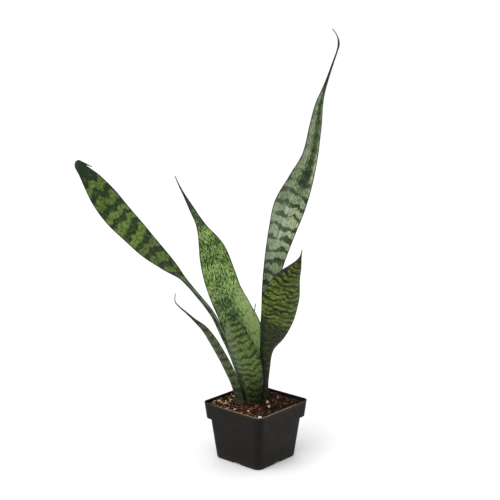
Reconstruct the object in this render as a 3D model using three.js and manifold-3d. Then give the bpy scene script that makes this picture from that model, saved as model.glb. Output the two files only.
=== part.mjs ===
// A young snake plant in a square nursery pot, standing free.
// Millimetres, +Z up. The origin is the middle of the pot's underside, on the plane it rests on, and the
// pot's sides run along X and Y. The plant has its own group, turned about Z: there X runs along the fan
// of leaves, and Y across it. Heights in the leaf tables count from the crown, where leaves leave the mix.
import * as THREE from "three";
import { mergeVertices } from "three/addons/utils/BufferGeometryUtils.js";
import Module from "manifold-3d";

// Pot
const POT_RIM_WIDTH = 102;
const POT_BASE_WIDTH = 78.5;
const POT_HEIGHT = 78;
const POT_WALL = 1.3;
const POT_CORNER_RADIUS = 9;
const RIM_BAND_HEIGHT = 22.5;
const RIM_BAND_TAPER = 2.2;
const LEDGE = 3.9;
const EDGE_ROUND = 1.2;
const RIM_EDGE_ROUND = 0.35;
const CHANNEL_WIDTH = 13;
const CHANNEL_DEPTH = 2.6;
const CENTRE_PAD_RADIUS = 9;
const DRAIN_RADIUS = 3.5;
const DRAIN_OFFSET = 22;

// Potting mix
const MIX_BELOW_RIM = 3.4;
const MOUND_HEIGHT = 1.6;
const MIX_UNEVENNESS = 0.4;
const FIT_GAP = 0.35;
const PIECE_FROM_WALL = 4;
const PIECE_ABOVE_MIX = 0.6;
const PIECE_TILT = 0.4;

// Plant
const PLANT_TURN = 41;
const PLANT_HEIGHT = 488;
const LEAF_THICKNESS = 5.5;
const LEAF_MARGIN = 1;
const RHIZOME_RADIUS = 6;
const ROOT_RADIUS = 1.3;
const ROOT_COUNT = 9;
const ROOT_REACH = 0.62;
const ROOTS_ABOVE_FLOOR = 8;
const PLANTING_DEPTH = 18;

const CORNER_STEPS = 5;
const LEAF_STEPS_ACROSS = 6;

const rimHalf = POT_RIM_WIDTH / 2;
const baseHalf = POT_BASE_WIDTH / 2;
const bandBottom = POT_HEIGHT - RIM_BAND_HEIGHT;
const bandHalf = rimHalf - RIM_BAND_TAPER;
const bodyTopHalf = bandHalf - LEDGE;
const mixEdgeHeight = POT_HEIGHT - MIX_BELOW_RIM;
const crownHeight = mixEdgeHeight + MOUND_HEIGHT;
const rhizomeHeight = crownHeight - PLANTING_DEPTH - FIT_GAP - RHIZOME_RADIUS;
const plantTurn = THREE.MathUtils.degToRad(PLANT_TURN);

// Each leaf row is [x, y, height above the crown, width, facing, curl, thickness]: the flat width of the
// blade; the way its inner side faces, in degrees from the front (-Y) towards +X; how far each half curls
// inwards, in degrees; and its thickness as a share of LEAF_THICKNESS.
const LEAVES = [
  {
    name: "tall_right_leaf",
    rings: 34,
    colour: 0x6f8560,
    rows: [
      [10, 13, -18, 15, 5, 45, 1],
      [10, 15, 12, 15, 5, 48, 0.95],
      [11, 17, 49, 15.5, 5, 50, 0.9],
      [13.3, 17, 86, 16.5, 5, 50, 0.87],
      [15.6, 18, 122, 19, 3, 45, 0.82],
      [19, 20, 157, 23, 0, 38, 0.76],
      [25.2, 22, 192, 29.5, 0, 36, 0.7],
      [34.2, 24, 227, 37.5, -3, 33, 0.65],
      [44.2, 26, 260, 43.5, -5, 32, 0.6],
      [58, 28, 292, 36, -8, 40, 0.55],
      [70.5, 30, 325, 25, -10, 60, 0.47],
      [76.7, 31, 359, 21.5, -10, 72, 0.42],
      [81.2, 33, 389, 14.5, -10, 75, 0.38],
      [85.6, 34, 406, 7.5, -10, 65, 0.34],
      [91, 35, 422, 4, -10, 50, 0.3],
      [98, 36, 443, 2.6, -10, 20, 0.24],
      [103.5, 37, 459, 2.1, -10, 10, 0.24],
      [105.6, 37.5, 469, 2.8, -10, 10, 0.34],
      [103.4, 38, 479, 1.3, -10, 5, 0.2],
      [97.4, 38, 488, 0.9, -10, 5, 0.17],
    ],
  },
  {
    name: "short_right_leaf",
    rings: 22,
    colour: 0x48562a,
    rows: [
      [11, 4, -18, 11.5, 185, 40, 0.9],
      [10.8, 4, 12, 12.5, 185, 42, 0.9],
      [12.4, 2, 44, 15.3, 185, 45, 0.87],
      [14.8, -2, 72, 20.5, 185, 45, 0.82],
      [23, -7, 96, 38.5, 185, 40, 0.76],
      [29.6, -10, 120, 49.5, 185, 42, 0.7],
      [34, -13, 144, 52.8, 185, 45, 0.62],
      [41, -16, 167, 40, 187, 45, 0.52],
      [50, -18, 185, 20.5, 190, 40, 0.42],
      [54.6, -19.5, 195, 9, 190, 30, 0.34],
      [57.4, -20.5, 203, 2.8, 190, 15, 0.26],
      [59, -22, 212, 0.9, 190, 5, 0.17],
    ],
  },
  {
    name: "middle_leaf",
    rings: 28,
    colour: 0x7f9a5c,
    rows: [
      [-3, 6, -18, 13, 0, 45, 1],
      [-3, 6, 8, 14, 0, 48, 1],
      [-6.8, 8, 39, 21, 0, 42, 0.9],
      [-10.2, 11, 67, 38.5, 0, 38, 0.82],
      [-15.6, 13.5, 95, 51.5, 0, 35, 0.74],
      [-27.2, 16, 121, 50, -3, 33, 0.68],
      [-39.3, 19, 146, 47, -5, 32, 0.62],
      [-47.8, 21, 172, 46, -8, 32, 0.56],
      [-54.9, 24, 198, 41, -10, 38, 0.5],
      [-60.8, 25.5, 213, 32.5, -10, 45, 0.45],
      [-68.3, 27, 228, 20, -10, 58, 0.4],
      [-74.5, 28, 240, 13, -10, 68, 0.38],
      [-81.6, 29.5, 252, 9.5, -10, 68, 0.34],
      [-92, 31.5, 270, 4, -10, 40, 0.3],
      [-100, 33, 285, 2, -10, 10, 0.24],
      [-105.8, 34, 298, 0.9, -10, 5, 0.17],
    ],
  },
  {
    name: "long_left_leaf",
    rings: 32,
    colour: 0x5b7335,
    rows: [
      [-17, 5, -18, 13, 85, 45, 1],
      [-17.5, 7, 8, 14, 85, 45, 1.05],
      [-23.3, 8, 37, 15, 80, 50, 1.1],
      [-33.6, 9, 66, 16, 80, 50, 1.1],
      [-46.1, 10, 93.5, 15, 82, 50, 1],
      [-60, 11.5, 120, 14, 85, 46, 0.8],
      [-78.4, 13, 143.5, 13, 85, 40, 0.66],
      [-97.8, 15, 165.5, 14.5, 75, 36, 0.58],
      [-118.6, 16, 186, 21.5, 30, 30, 0.52],
      [-140, 18, 206.5, 30.5, 3, 25, 0.5],
      [-160, 20, 228, 35.5, -5, 22, 0.48],
      [-179.8, 21, 249.5, 38.5, -5, 22, 0.45],
      [-197, 23, 272, 37, -5, 24, 0.42],
      [-211.6, 24.5, 292, 28, -5, 26, 0.38],
      [-222.8, 26, 305.5, 18, -5, 26, 0.34],
      [-231, 28.5, 314.5, 11, -5, 20, 0.3],
      [-229, 36, 316, 4, -5, 15, 0.26],
      [-215, 42, 309, 0.9, -5, 5, 0.17],
    ],
  },
  {
    name: "small_left_leaf",
    rings: 24,
    colour: 0x3f4b2c,
    rows: [
      [-20, -5, -18, 14, 140, 42, 0.95],
      [-23, -8, 7, 16.5, 140, 42, 0.95],
      [-28.8, -11, 29, 17, 140, 42, 0.87],
      [-37.2, -14, 50, 17.5, 140, 40, 0.8],
      [-46.8, -17, 70, 17.5, 140, 38, 0.7],
      [-56.8, -20, 89.5, 16.5, 138, 36, 0.6],
      [-68, -22, 107, 12.5, 136, 34, 0.5],
      [-79.6, -24, 119.5, 6, 134, 25, 0.38],
      [-89.8, -26, 130, 3.6, 132, 10, 0.3],
      [-98.6, -28, 138.5, 2.4, 130, 5, 0.26],
      [-103.6, -29, 145.8, 1.6, 130, 5, 0.2],
      [-103.2, -30, 156.5, 0.9, 110, 5, 0.17],
    ],
  },
  {
    name: "front_leaf",
    rings: 21,
    colour: 0x4e5d30,
    rows: [
      [-3, -4, -18, 17, 178, 35, 1],
      [-3, -7.5, 4, 22, 178, 38, 1],
      [-4.5, -10.5, 22, 31, 178, 40, 0.95],
      [-6.8, -13, 39, 36, 178, 40, 0.87],
      [-10.8, -15.5, 55, 39, 178, 40, 0.8],
      [-15.8, -18, 71, 39, 178, 40, 0.73],
      [-21.8, -20.5, 87, 34.5, 178, 38, 0.64],
      [-27, -23, 102, 29, 178, 34, 0.55],
      [-30.2, -25, 112.5, 21.5, 178, 30, 0.45],
      [-33.6, -26, 120, 13, 178, 25, 0.36],
      [-37.2, -26.5, 125.5, 5.5, 178, 15, 0.26],
      [-40, -27, 129, 0.9, 178, 5, 0.17],
    ],
  },
  {
    name: "back_leaf",
    rings: 16,
    colour: 0x43512b,
    rows: [
      [0, 19, -18, 13, 0, 45, 0.9],
      [0, 22, 6, 15, 0, 45, 0.9],
      [-3, 27, 34, 18, 0, 40, 0.82],
      [-7, 34, 62, 20, 0, 38, 0.7],
      [-8, 40, 84, 15, 0, 35, 0.55],
      [-4.6, 44.5, 100, 6, 0, 25, 0.38],
      [-1.8, 48, 112, 1.6, 0, 10, 0.24],
      [-0.4, 50, 121.5, 0.9, 0, 5, 0.17],
    ],
  },
];

// Loose pieces on top of the mix: [kind, x, y, length, width, height, turn]. Their x and y are shares of
// the mix's half width in the plant's group, sizes are in millimetres and turn is in degrees.
const SURFACE_PIECES = [
  ["perlite_grain", 0.12, -1.36, 5.5, 4.6, 4.2, 20],
  ["perlite_grain", -0.62, 0.46, 3.6, 3.2, 2.6, 70],
  ["perlite_grain", 0.66, 0.34, 4, 3.4, 2.8, -30],
  ["wood_bit", 0.34, -0.13, 4.6, 3.8, 4.4, 40],
  ["wood_bit", 0.38, -0.47, 4.4, 3.4, 3.6, -15],
  ["wood_bit", -1.06, 0.08, 7, 4, 2.6, 12],
  ["wood_bit", -0.84, -0.14, 6, 3.6, 2.4, -35],
  ["wood_bit", -0.72, 0.16, 5.4, 3.2, 2.6, 60],
  ["bark_chip", 0.02, -0.5, 7, 5, 3, 25],
  ["bark_chip", -0.14, -0.66, 6, 4.4, 2.8, -20],
  ["bark_chip", -0.4, -0.48, 6.4, 4.6, 2.8, 75],
  ["bark_chip", 0.74, -0.16, 7, 5, 3, 10],
  ["bark_chip", 0.92, 0.1, 6, 4.2, 2.6, -50],
  ["bark_chip", 0.5, 0.64, 7.2, 5, 3, 35],
  ["bark_chip", -0.1, 0.92, 6.6, 4.6, 2.8, -10],
  ["bark_chip", -0.52, 0.7, 6, 4.4, 2.6, 50],
];
const SURFACE_COLOURS = { perlite_grain: 0xe6e2d8, wood_bit: 0xb79c74, bark_chip: 0x5f3c2a };

const wasm = await Module();
wasm.setup();

// Solids and meshes

// A closed skin over a stack of rings, each a loop of points with the same count, anticlockwise as seen
// from the last ring. An end cap joins each point to the one across the loop from it.
function loft(rings) {
  const count = rings[0].length;
  const last = (rings.length - 1) * count;
  const index = [];
  for (let start = 0; start < last; start += count) {
    for (let i = 0; i < count; i++) {
      const a = start + i;
      const b = start + ((i + 1) % count);
      index.push(a, b, b + count, a, b + count, a + count);
    }
  }
  for (let i = 0; i < count / 2 - 1; i++) {
    const across = count - 1 - i;
    index.push(i, across - 1, i + 1, i, across, across - 1);
    index.push(last + i, last + i + 1, last + across - 1);
    index.push(last + i, last + across - 1, last + across);
  }
  const geometry = new THREE.BufferGeometry();
  geometry.setAttribute("position", new THREE.Float32BufferAttribute(rings.flat(2), 3));
  geometry.setIndex(index);
  return geometry;
}

function solidOf(geometry) {
  const bare = geometry.clone();
  bare.deleteAttribute("normal");
  bare.deleteAttribute("uv");
  const merged = mergeVertices(bare, 1e-3);
  const mesh = new wasm.Mesh({
    numProp: 3,
    vertProperties: merged.attributes.position.array,
    triVerts: new Uint32Array(merged.index.array),
  });
  return new wasm.Manifold(mesh);
}

function geometryOf(solid) {
  const mesh = solid.getMesh();
  const geometry = new THREE.BufferGeometry();
  geometry.setAttribute("position", new THREE.BufferAttribute(mesh.vertProperties, 3));
  geometry.setIndex(new THREE.BufferAttribute(mesh.triVerts, 1));
  return geometry;
}

function meshOf(name, geometry, colour, roughness) {
  geometry.computeVertexNormals();
  const material = new THREE.MeshStandardMaterial({ color: colour, roughness, metalness: 0 });
  const mesh = new THREE.Mesh(geometry, material);
  mesh.name = name;
  return mesh;
}

// Pot

// One ring of a square with round corners, at a height.
function squareRing(height, half, radius) {
  const ring = [];
  for (let corner = 0; corner < 4; corner++) {
    const middle = (corner + 0.5) * (Math.PI / 2);
    const cx = Math.sign(Math.cos(middle)) * (half - radius);
    const cy = Math.sign(Math.sin(middle)) * (half - radius);
    for (let step = 0; step <= CORNER_STEPS; step++) {
      const angle = (corner + step / CORNER_STEPS) * (Math.PI / 2);
      ring.push([cx + radius * Math.cos(angle), cy + radius * Math.sin(angle), height]);
    }
  }
  return ring;
}

// The outside of the pot's wall as [height, half width], from the feet to the rim.
function outsideProfile() {
  const round = EDGE_ROUND;
  return [
    [0, baseHalf - 1.6 * round],
    [0.35 * round, baseHalf - 0.7 * round],
    [1.6 * round, baseHalf],
    [bandBottom, bodyTopHalf],
    [bandBottom + 0.1 * round, bandHalf - round],
    [bandBottom + 0.4 * round, bandHalf - 0.3 * round],
    [bandBottom + 1.2 * round, bandHalf],
    [POT_HEIGHT - RIM_EDGE_ROUND, rimHalf],
    [POT_HEIGHT, rimHalf - RIM_EDGE_ROUND],
  ];
}

// The inside, one wall thickness further in and set back by a gap that the mix keeps.
function insideProfile(gap) {
  const inset = POT_WALL + gap;
  const bend = 0.6 * EDGE_ROUND;
  const ledgeTop = bandBottom + POT_WALL + gap;
  return [
    [inset, baseHalf - inset - EDGE_ROUND],
    [inset + EDGE_ROUND, baseHalf - inset],
    [ledgeTop, bodyTopHalf - inset],
    [ledgeTop + 0.1 * bend, bandHalf - inset - bend],
    [ledgeTop + bend, bandHalf - inset],
  ];
}

function stackOfSquares(profile, cornerRadius) {
  return loft(profile.map(([height, half]) => squareRing(height, half, cornerRadius)));
}

// The cross of drain channels under the base, cut off round a centre pad. It grows by a margin on each
// side, as its upper skin inside the pot does.
function channelCross(margin) {
  const width = CHANNEL_WIDTH + 2 * margin;
  const height = 2 * (CHANNEL_DEPTH + margin);
  const run = POT_RIM_WIDTH;
  const alongX = solidOf(new THREE.BoxGeometry(run, width, height));
  const alongY = solidOf(new THREE.BoxGeometry(width, run, height));
  const padRadius = CENTRE_PAD_RADIUS - margin;
  const pad = new THREE.CylinderGeometry(padRadius, padRadius, 2 * height, 24);
  pad.rotateX(Math.PI / 2);
  return alongX.add(alongY).subtract(solidOf(pad));
}

function drainHole(x, y) {
  const hole = new THREE.CylinderGeometry(DRAIN_RADIUS, DRAIN_RADIUS, 4 * CHANNEL_DEPTH, 16);
  hole.rotateX(Math.PI / 2);
  hole.translate(x, y, CHANNEL_DEPTH);
  return solidOf(hole);
}

function potGeometry() {
  const inside = insideProfile(0);
  inside.push([POT_HEIGHT + RIM_EDGE_ROUND, rimHalf - POT_WALL]);
  const cavity = solidOf(stackOfSquares(inside, POT_CORNER_RADIUS - POT_WALL));
  let pot = solidOf(stackOfSquares(outsideProfile(), POT_CORNER_RADIUS));
  pot = pot.subtract(cavity.subtract(channelCross(POT_WALL))).subtract(channelCross(0));
  for (let quarter = 0; quarter < 4; quarter++) {
    const angle = quarter * (Math.PI / 2);
    pot = pot.subtract(drainHole(DRAIN_OFFSET * Math.cos(angle), DRAIN_OFFSET * Math.sin(angle)));
  }
  return geometryOf(pot);
}

// Plant

// The row at a share of the way along a table of rows, on a smooth curve through them all.
function rowAt(rows, share) {
  const place = Math.min(share * (rows.length - 1), rows.length - 1 - 1e-9);
  const i = Math.floor(place);
  const t = place - i;
  const before = rows[Math.max(i - 1, 0)];
  const after = rows[Math.min(i + 2, rows.length - 1)];
  return rows[i].map((value, k) => {
    const next = rows[i + 1][k];
    const slopeIn = (next - before[k]) / 2;
    const slopeOut = (after[k] - value) / 2;
    const square = 3 * (next - value) - 2 * slopeIn - slopeOut;
    const cube = slopeIn + slopeOut - 2 * (next - value);
    return value + t * (slopeIn + t * (square + t * cube));
  });
}

const tallest = Math.max(...LEAVES.flatMap((leaf) => leaf.rows.map((row) => row[2])));

// A point on a leaf's centreline: what stands above the crown stretches with the plant's height.
function centreOf(row) {
  const height = row[2] > 0 ? (row[2] * PLANT_HEIGHT) / tallest : row[2];
  return new THREE.Vector3(row[0], row[1], crownHeight + height);
}

// One ring round a leaf: out along its outer side and back along its inner side. The blade is an arc
// round the inner side, thickest in the middle and thin at its margins.
function leafRing(rows, share, grow) {
  const [, , , width, facing, curl, thickness] = rowAt(rows, share);
  const centre = centreOf(rowAt(rows, share));
  const ahead = centreOf(rowAt(rows, Math.min(share + 0.005, 1)));
  const behind = centreOf(rowAt(rows, Math.max(share - 0.005, 0)));
  const along = ahead.sub(behind).normalize();
  const angle = THREE.MathUtils.degToRad(facing);
  const inward = new THREE.Vector3(Math.sin(angle), -Math.cos(angle), 0);
  inward.addScaledVector(along, -inward.dot(along)).normalize();
  const side = new THREE.Vector3().crossVectors(inward, along);
  const halfWidth = Math.max(width, 0.8) / 2;
  const halfCurl = THREE.MathUtils.degToRad(Math.max(curl, 3));
  const radius = halfWidth / halfCurl;
  const middle = Math.max(thickness * LEAF_THICKNESS, LEAF_MARGIN * 0.8);
  const margin = Math.min(LEAF_MARGIN, middle);
  if (share === 0) centre.addScaledVector(along, -grow);
  const outer = [];
  const inner = [];
  for (let step = 0; step <= LEAF_STEPS_ACROSS; step++) {
    const across = (2 * step) / LEAF_STEPS_ACROSS - 1;
    const turn = across * (halfCurl + grow / radius);
    const half = (margin + (middle - margin) * (1 - across * across)) / 2 + grow;
    const point = centre.clone();
    point.addScaledVector(side, radius * Math.sin(turn));
    point.addScaledVector(inward, radius * (1 - Math.cos(turn)));
    const out = side.clone().multiplyScalar(Math.sin(turn)).addScaledVector(inward, -Math.cos(turn));
    outer.push(point.clone().addScaledVector(out, half).toArray());
    inner.unshift(point.addScaledVector(out, -half).toArray());
  }
  return [...outer, ...inner];
}

function leafGeometry(leaf, grow = 0) {
  const rings = [];
  for (let ring = 0; ring < leaf.rings; ring++) {
    rings.push(leafRing(leaf.rows, ring / (leaf.rings - 1), grow));
  }
  return loft(rings);
}

function stretched(from, to, distance) {
  return to.clone().addScaledVector(to.clone().sub(from).normalize(), distance);
}

// A round rod along a smooth curve through points, grown by a margin all round and at both ends.
function rodSolid(points, radius, steps, sides, grow) {
  const circle = new THREE.Shape();
  circle.absarc(0, 0, radius + grow, 0, 2 * Math.PI);
  const start = stretched(points[1], points[0], grow);
  const end = stretched(points.at(-2), points.at(-1), grow);
  const extrudePath = new THREE.CatmullRomCurve3([start, ...points.slice(1, -1), end]);
  const curveSegments = sides / 2;
  return solidOf(
    new THREE.ExtrudeGeometry(circle, { steps, curveSegments, extrudePath, bevelEnabled: false }),
  );
}

function knobSolid(x, y, radius) {
  const knob = new THREE.SphereGeometry(radius, 12, 8);
  knob.translate(x, y, rhizomeHeight);
  return solidOf(knob);
}

// The underground stem that the leaves grow from, with a side shoot and a fan of roots.
function rhizomeSolid(grow = 0) {
  const at = (x, y) => new THREE.Vector3(x, y, rhizomeHeight);
  const shootRadius = 0.85 * RHIZOME_RADIUS;
  let stem = rodSolid([at(-21, -1), at(-10, 0), at(0, 3), at(11, 8)], RHIZOME_RADIUS, 8, 10, grow);
  stem = stem.add(rodSolid([at(-2, 4), at(-1, 12), at(0, 20)], shootRadius, 4, 10, grow));
  stem = stem.add(knobSolid(-21, -1, RHIZOME_RADIUS + grow));
  stem = stem.add(knobSolid(11, 8, RHIZOME_RADIUS + grow));
  stem = stem.add(knobSolid(0, 20, shootRadius + grow));
  const reach = ROOT_REACH * baseHalf;
  const lowest = POT_WALL + CHANNEL_DEPTH + ROOTS_ABOVE_FLOOR;
  for (let root = 0; root < ROOT_COUNT; root++) {
    const angle = (2 * Math.PI * root) / ROOT_COUNT;
    const x = Math.cos(angle);
    const y = Math.sin(angle);
    const drop = (rhizomeHeight - lowest) * (0.7 + 0.3 * Math.cos(3 * angle));
    const start = new THREE.Vector3(8 * x - 4, 2 * y + 3, rhizomeHeight);
    const bend = new THREE.Vector3(0.65 * reach * x, 0.65 * reach * y, rhizomeHeight - 0.35 * drop);
    const tip = new THREE.Vector3(reach * x, reach * y, rhizomeHeight - drop);
    stem = stem.add(rodSolid([start, bend, tip], ROOT_RADIUS, 4, 6, grow));
  }
  return stem;
}

// Potting mix

// The height of the mix's top at a place in the pot's frame: a mound about the crown, a little uneven.
function mixTop(x, y) {
  const mixHalf = rimHalf - POT_WALL;
  const nearness = Math.max(0, 1 - Math.hypot(x, y) / mixHalf);
  const ripple = Math.sin(0.19 * x + 0.8) * Math.cos(0.23 * y - 0.5) * Math.min(1, 4 * nearness);
  return mixEdgeHeight + MOUND_HEIGHT * Math.sin((nearness * Math.PI) / 2) + MIX_UNEVENNESS * ripple;
}

function mixGeometry() {
  const profile = insideProfile(FIT_GAP);
  const rise = (mixEdgeHeight - bandBottom) / RIM_BAND_HEIGHT;
  const edgeHalf = bandHalf + RIM_BAND_TAPER * rise - POT_WALL - FIT_GAP;
  profile.push([mixEdgeHeight, edgeHalf]);
  const corner = POT_CORNER_RADIUS - POT_WALL;
  const rings = profile.map(([height, half]) => squareRing(height, half, corner));
  for (const share of [0.8, 0.6, 0.4, 0.2]) {
    const flat = squareRing(0, edgeHalf * share, corner * share);
    rings.push(flat.map(([x, y]) => [x, y, mixTop(x, y)]));
  }
  let mix = solidOf(loft(rings)).subtract(channelCross(POT_WALL + FIT_GAP));
  for (const leaf of LEAVES) {
    mix = mix.subtract(solidOf(leafGeometry(leaf, FIT_GAP).rotateZ(plantTurn)));
  }
  return geometryOf(mix.subtract(solidOf(geometryOf(rhizomeSolid(FIT_GAP)).rotateZ(plantTurn))));
}

// A rough little block: a twenty-sided solid, stretched to its size.
function surfacePiece([, x, y, length, width, height, turn]) {
  const place = new THREE.Vector2(x, y).multiplyScalar(rimHalf - POT_WALL - PIECE_FROM_WALL);
  const inPot = place.clone().rotateAround(new THREE.Vector2(), plantTurn);
  const piece = new THREE.IcosahedronGeometry(0.5, 0);
  piece.rotateX(PIECE_TILT);
  piece.scale(length, width, height);
  piece.rotateZ(THREE.MathUtils.degToRad(turn));
  piece.computeBoundingBox();
  const rest = mixTop(inPot.x, inPot.y) + PIECE_ABOVE_MIX;
  return piece.translate(place.x, place.y, rest - piece.boundingBox.min.z);
}

const group = new THREE.Group();
group.add(meshOf("nursery_pot", potGeometry(), 0x2a2724, 0.55));
group.add(meshOf("potting_mix", mixGeometry(), 0x4f3a2a, 0.95));

const plant = new THREE.Group();
plant.rotation.z = plantTurn;
group.add(plant);
plant.add(meshOf("rhizome", geometryOf(rhizomeSolid()), 0xc9a26a, 0.7));
for (const leaf of LEAVES) {
  plant.add(meshOf(leaf.name, leafGeometry(leaf), leaf.colour, 0.45));
}
const pieceCount = {};
for (const piece of SURFACE_PIECES) {
  const kind = piece[0];
  pieceCount[kind] = (pieceCount[kind] ?? 0) + 1;
  plant.add(meshOf(`${kind}_${pieceCount[kind]}`, surfacePiece(piece), SURFACE_COLOURS[kind], 0.9));
}

export default group;
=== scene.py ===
"""A young snake plant in a square nursery pot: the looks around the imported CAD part.

Lengths in this script are millimetres in the part's own frame until a mesh is made, which is in metres.
The plant's frame is the part's, turned about Z: X runs along the fan of leaves, and Y across it.
"""

import math

import bmesh
import bpy
import numpy as np
from mathutils import Matrix, Vector


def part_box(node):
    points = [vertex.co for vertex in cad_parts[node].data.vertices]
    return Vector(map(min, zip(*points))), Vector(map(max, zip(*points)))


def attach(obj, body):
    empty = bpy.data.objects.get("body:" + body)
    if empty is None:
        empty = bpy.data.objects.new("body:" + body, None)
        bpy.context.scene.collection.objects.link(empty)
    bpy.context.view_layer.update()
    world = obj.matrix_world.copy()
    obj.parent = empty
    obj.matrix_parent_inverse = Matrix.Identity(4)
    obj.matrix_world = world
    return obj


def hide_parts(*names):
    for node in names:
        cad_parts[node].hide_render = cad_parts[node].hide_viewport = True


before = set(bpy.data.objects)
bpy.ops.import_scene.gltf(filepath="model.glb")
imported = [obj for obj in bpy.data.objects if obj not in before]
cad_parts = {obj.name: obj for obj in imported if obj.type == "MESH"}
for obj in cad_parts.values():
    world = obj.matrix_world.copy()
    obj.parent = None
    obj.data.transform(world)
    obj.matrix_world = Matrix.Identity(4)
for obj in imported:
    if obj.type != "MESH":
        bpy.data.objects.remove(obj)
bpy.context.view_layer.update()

MM = 0.001

# Pot
RIM_HALF = 51.0
BASE_HALF = 39.25
POT_HEIGHT = 78.0
WALL = 1.3
CORNER_RADIUS = 9.0
BAND_BOTTOM = 55.5
BAND_HALF = 48.8
BODY_TOP_HALF = 44.9
EDGE_ROUND = 1.2
LIP_ROUND = 0.62
WALL_BOW = 0.3
PROFILE_STEP = 4.0
SHARP_ANGLE = math.radians(38)
CHANNEL_WIDTH = 13.0
CHANNEL_DEPTH = 2.6
PAD_RADIUS = 9.0
DRAIN_RADIUS = 3.5
DRAIN_OFFSET = 22.0
DISC_SIDES = 40

# Potting mix
MIX_EDGE = 74.6
MOUND = 1.6
CROWN = MIX_EDGE + MOUND
MIX_GAP = 0.35
MIX_RINGS = 70
CRUMBS = 2200
CRUMB_SEED = 5
CRUMB_SHAPES = 14
CRUMB_LIMIT = 4.6
FIBRES = 210
FIBRE_SEED = 21
FIBRE_STEPS = 9

# Plant
TURN = math.radians(41)
THICKNESS = 5.5
MARGIN = 1.0
DARK_EDGE = 1.3
RIPPLE_LENGTH = 4.7
LEAF_STEP = 1.1
SLOPE_SPAN = 0.005  # the share of a leaf, each way from a point, that gives its direction there
ACROSS_STEPS = 26
CAP_STEPS = 4

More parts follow.
